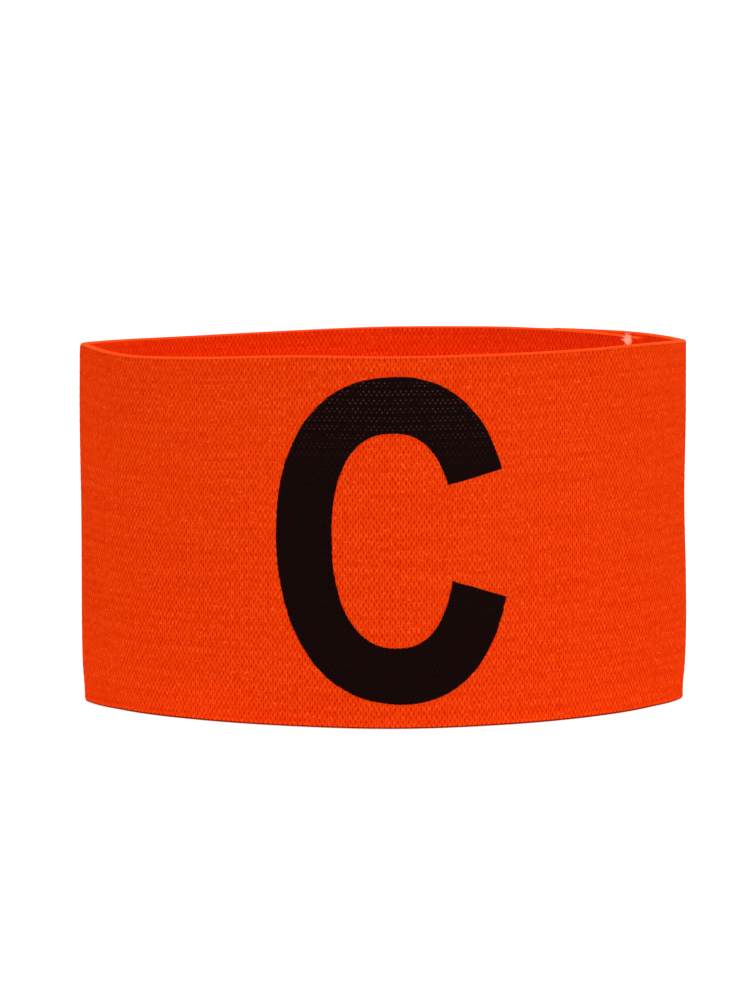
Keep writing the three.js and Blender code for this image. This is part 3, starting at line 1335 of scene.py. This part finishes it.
@dataclass
class ThreadTuft:
    """Loose thread ends that fray out where the lap's seam stops at the rim.

    The strands are rooted in a patch that is twice the spread wide and one drop tall.
    """

    webbing: Webbing
    distance: float = 18.7 * MM
    spread: float = 0.9 * MM
    drop: float = 1.5 * MM
    above_rim: float = 0.1 * MM
    thread: float = 0.055 * MM
    longest: float = 1.4 * MM
    shortest_share: float = 0.35
    tilt: float = math.radians(75)
    count: int = 110
    steps: int = 6
    sides: int = 5
    seed: int = 5

    def build(self, finish: bpy.types.Material) -> bpy.types.Object:
        """Grows the tuft.

        Args:
            finish: The thread's material.

        Returns:
            The tuft.
        """
        web = self.webbing
        rim = float(web.rim(np.array(self.distance))) + self.above_rim
        face = np.array(-web.plan.wall / 2)
        corners = []
        for along, up in ((-1, -1), (1, -1), (1, 0), (-1, 0)):
            distance = np.array(self.distance + along * self.spread)
            corners.append(web.place(distance, face, rim + up * self.drop))
        patch = mesh_object("lap_thread_tuft", np.array(corners), [(0, 1, 2, 3)])
        normal = web.plan.normal(np.array(self.distance))
        inward = Vector((-float(normal[0]), -float(normal[1]), 0.0))
        pattern = Pattern("lap_thread_tuft")
        thick = pattern.size("Thread radius", "Float", self.thread)
        length = pattern.size("Longest", "Float", self.longest)
        seed = pattern.size("Seed", "Int", self.seed)
        density = pattern.size("Density", "Float", self.count / (2 * self.spread * self.drop))
        roots = pattern.node(
            "GeometryNodeDistributePointsOnFaces", {"distribute_method": "RANDOM"},
            {"Mesh": pattern.source.outputs[0], "Density": density, "Seed": seed},
        )
        bend = pattern.node(
            "GeometryNodeCurveQuadraticBezier", None,
            {
                "Resolution": self.steps,
                "Start": (0, 0, 0),
                "Middle": (0, 0, 0.5),
                "End": (0.45, 0.1, 0.8),
            },
        )
        sized = pattern.node(
            "GeometryNodeTransform", None,
            {"Geometry": bend.outputs["Curve"], "Scale": pattern.scaled((1.0, 1.0, 1.0), length)},
        )
        strand = pattern.thread(sized.outputs["Geometry"], thick, self.sides)
        least, most = (-self.tilt, -self.tilt, 0.0), (self.tilt, self.tilt, TURN)
        lean = pattern.node(
            "FunctionNodeRandomValue", {"data_type": "FLOAT_VECTOR"},
            {"Min": least, "Max": most, "Seed": seed},
        )
        upright = pattern.node(
            "FunctionNodeAlignRotationToVector", {"axis": "Z"}, {"Vector": tuple(inward)}
        )
        turned = pattern.node(
            "FunctionNodeRotateRotation", {"rotation_space": "LOCAL"},
            {"Rotation": upright.outputs["Rotation"], "Rotate By": lean.outputs["Value"]},
        )
        size = pattern.node(
            "FunctionNodeRandomValue", {"data_type": "FLOAT"},
            {2: self.shortest_share, 3: 1.0, "Seed": seed},
        )
        strands = pattern.node(
            "GeometryNodeInstanceOnPoints", None,
            {
                "Points": roots.outputs["Points"],
                "Instance": strand,
                "Rotation": turned.outputs["Rotation"],
                "Scale": size.outputs[1],
            },
        )
        return pattern.grow(patch, strands.outputs["Instances"], finish)


# The studio

@dataclass
class Viewpoint:
    """The camera, where the photograph was taken from.

    The distance runs to the line between the two folds, and aside is across it.
    """

    distance: float = 923.0 * MM
    height: float = 130.1 * MM
    aside: float = -1.7 * MM
    turned: float = math.radians(2.05)
    pitch: float = math.radians(5.627)
    lens: float = 169.6
    sensor: float = 36.0
    near_clip: float = 10.0 * MM
    fold_line: float = -1.72 * MM

    def build(self) -> None:
        """Places the camera and makes it the scene's own."""
        data = bpy.data.cameras.new("camera")
        data.lens = self.lens
        data.sensor_width = self.sensor
        data.clip_start = self.near_clip
        camera = new_object("camera", data)
        c, s = math.cos(self.turned), math.sin(self.turned)
        x = self.aside * c - self.distance * s
        y = -self.aside * s - self.distance * c + self.fold_line
        camera.location = (x, y, self.height)
        camera.rotation_euler = (math.pi / 2 - self.pitch, 0.0, -self.turned)
        bpy.context.scene.camera = camera


@dataclass(frozen=True)
class SoftLight:
    """One white square area light that looks at the armband."""

    name: str
    place: tuple[float, float, float]
    size: float
    power: float
    aim: tuple[float, float, float] = (0.0, 0.0, 35.0 * MM)

    def build(self) -> bpy.types.Object:
        """Makes the light."""
        data = bpy.data.lights.new(self.name, "AREA")
        data.size = self.size
        data.energy = self.power
        lamp = new_object(self.name, data)
        lamp.location = self.place
        way = Vector(self.aim) - lamp.location
        lamp.rotation_euler = way.to_track_quat("-Z", "Y").to_euler()
        return lamp


@dataclass
class Studio:
    """A pale sweep of floor and wall, soft lights and a white surround."""

    half_width: float = 3.0
    front: float = -2.5
    back: float = 1.6
    bend: float = 0.8
    bend_steps: int = 16
    wall_height: float = 2.5
    surround: float = 0.06
    lights: tuple[SoftLight, ...] = (
        SoftLight("key_light", (1.0, -1.0, 1.2), 0.8, 2.6),
        SoftLight("top_light", (0.1, -0.5, 1.9), 0.8, 10.0),
    )

    def build(self) -> None:
        """Builds the sweep, the lights and the surround."""
        profile = [(self.front, 0.0), (self.back, 0.0)]
        for k in range(1, self.bend_steps + 1):
            angle = (math.pi / 2) * k / self.bend_steps
            profile.append(
                (self.back + self.bend * math.sin(angle), self.bend * (1 - math.cos(angle)))
            )
        profile.append((self.back + self.bend, self.wall_height))
        points = [(x, y, z) for y, z in profile for x in (-self.half_width, self.half_width)]
        faces = [(2 * k, 2 * k + 1, 2 * k + 3, 2 * k + 2) for k in range(len(profile) - 1)]
        sweep = mesh_object("studio_sweep", np.array(points), faces)
        sweep.data.materials.append(PalePaint().material())
        for light in self.lights:
            light.build()
        world = bpy.data.worlds.new("surround")
        world.use_nodes = True
        ground = world.node_tree.nodes["Background"]
        ground.inputs["Color"].default_value = (1.0, 1.0, 1.0, 1.0)
        ground.inputs["Strength"].default_value = self.surround
        bpy.context.scene.world = world
        bpy.context.scene.view_settings.view_transform = "Standard"


# Assembly

def finish_piece(
    piece: bpy.types.Object, material: Optional[bpy.types.Material]
) -> None:
    """Dresses a piece, lets it ride on the body and reports it.

    Args:
        piece: The piece.
        material: Its finish, or None where the piece has it already.
    """
    if material is not None:
        piece.data.materials.append(material)
    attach(piece, "root")
    LOG.info("%s: %d faces", piece.name, len(piece.data.polygons))


def dress_armband() -> None:
    """Builds the armband's pieces in order."""
    plan = LoopPlan()
    webbing = Webbing(plan)
    band = webbing.build()
    finish_piece(band, WovenElastic().material())
    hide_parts("webbing_band")
    letter = PrintedLetter(webbing).build()
    finish_piece(letter, PrintedInk().material())
    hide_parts("captain_letter")
    yarn, shaded_foot_yarn, seam, pale = (thread.value.material() for thread in Thread)
    foot_sweep = math.radians(92)
    inset = 4.0 * MM
    inner = webbing.lap_inner_end + inset
    outer = webbing.start + webbing.length - inset
    trims = [
        SelvedgeLoops(webbing).build(True, yarn),
        SelvedgeLoops(webbing, sweep=foot_sweep).build(False, shaded_foot_yarn),
        ZigzagSeam(webbing, "lap_seam_inner", inner, True).build(pale),
        ZigzagSeam(webbing, "lap_seam_outer", outer, False).build(seam),
        ThreadTuft(webbing).build(pale),
    ]
    for trim in trims:
        finish_piece(trim, None)


def main() -> None:
    """Builds the whole scene."""
    logging.basicConfig(level=logging.INFO, format="%(name)s: %(message)s")
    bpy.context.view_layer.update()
    Viewpoint().build()
    dress_armband()
    Studio().build()


if __name__ == "__main__":
    main()
